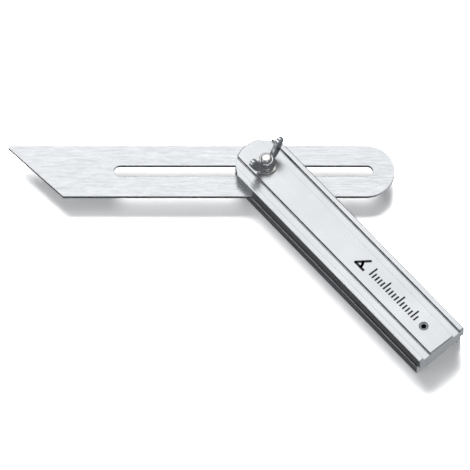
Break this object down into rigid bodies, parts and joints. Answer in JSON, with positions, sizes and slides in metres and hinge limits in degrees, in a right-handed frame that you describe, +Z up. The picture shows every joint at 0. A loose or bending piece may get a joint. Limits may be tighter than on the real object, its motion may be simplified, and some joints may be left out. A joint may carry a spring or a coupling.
{
  "type": "sliding bevel",
  "caption": "Adjustable bevel: a slotted steel blade swings and slides in a two-part aluminium stock and is locked by a wing nut.",
  "frame": {"origin": "on the pivot axis, in the plane of the stock's underside", "axes": "+X along the blade towards its round end, +Y across the blade towards its long edge, +Z up out of the stock towards the wing nut"},
  "size_m": [0.2344, 0.1304, 0.0329],
  "materials": {
    "stock_aluminium": "satin natural anodised extrusion",
    "spacer_plastic": "moulded black",
    "screw_steel": "bright zinc plated",
    "bolt_steel": "bright nickel plated",
    "washer_plastic": "natural nylon sheet",
    "blade_steel": "fine lengthwise brushing",
    "nut_chrome": "bright chrome plated"
  },
  "bodies": {
    "stock": {"lower_stock_half": "stock_aluminium", "upper_stock_half": "stock_aluminium", "end_spacer": "spacer_plastic", "end_screw": "screw_steel", "clamp_bolt": "bolt_steel"},
    "blade_guide": {"lower_friction_washer": "washer_plastic", "upper_friction_washer": "washer_plastic"},
    "blade": {"blade": "blade_steel"},
    "washer": {"flat_washer": "nut_chrome"},
    "nut": {"wing_nut": "nut_chrome"}
  },
  "joints": [
    {"name": "blade_swing", "type": "hinge", "parent": "stock", "child": "blade_guide", "pos_m": [0, 0, 0.00825], "axis": [0, 0, 1], "range_deg": [-216, 117]},
    {"name": "blade_slide", "type": "slide", "parent": "blade_guide", "child": "blade", "axis": [1, 0, 0], "range_m": [-0.0518, 0.0485]},
    {"name": "washer_lift", "type": "slide", "parent": "stock", "child": "washer", "axis": [0, 0, 1], "range_m": [0, 0.0008]},
    {"name": "nut_turn", "type": "hinge", "parent": "washer", "child": "nut", "pos_m": [0, 0, 0.0177], "axis": [0, 0, 1], "range_deg": [0, 361]}
  ],
  "couplings": [
    {"joint": "nut_turn", "follows": "washer_lift", "rad_per_m": 7854}
  ]
}
